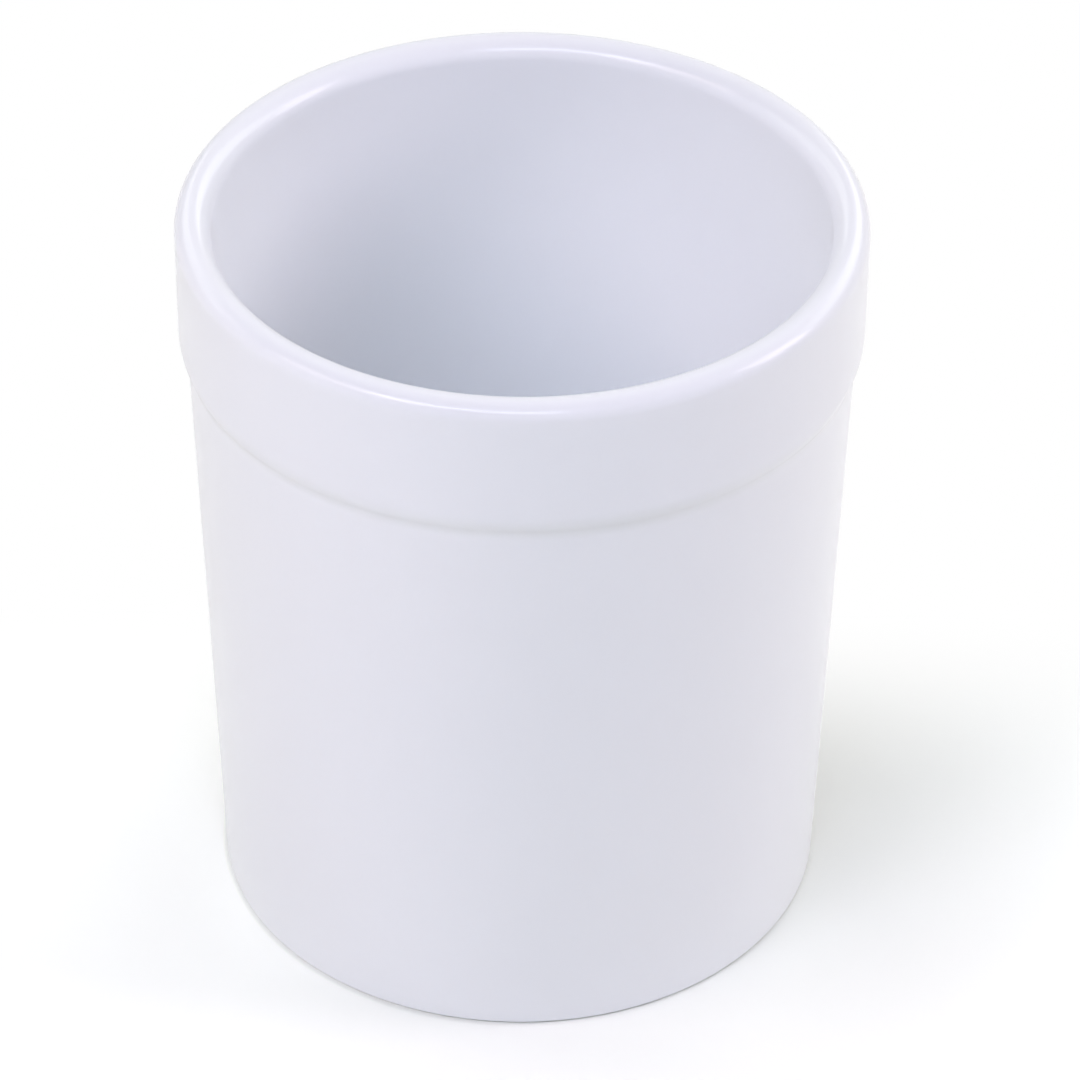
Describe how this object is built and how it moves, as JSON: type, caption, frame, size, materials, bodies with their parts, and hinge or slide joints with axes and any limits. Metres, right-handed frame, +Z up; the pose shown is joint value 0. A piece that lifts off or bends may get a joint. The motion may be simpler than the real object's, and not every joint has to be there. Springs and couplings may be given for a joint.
{
  "type": "utensil holder",
  "caption": "Round open-topped utensil crock: slightly tapered body, raised collar band, rounded lip, and a soft anti-slip ring under the foot.",
  "frame": {"origin": "centre of the circle on which the holder stands, at the level of the table", "axes": "+Z up along the axis of the crock; the holder is round, so +X and +Y are any two directions along the table"},
  "size_m": [0.12, 0.12, 0.1393],
  "materials": {
    "melamine": "gloss",
    "soft_ring": "matte"
  },
  "bodies": {
    "root": {"crock": "melamine", "anti_slip_ring": "soft_ring"}
  },
  "joints": []
}
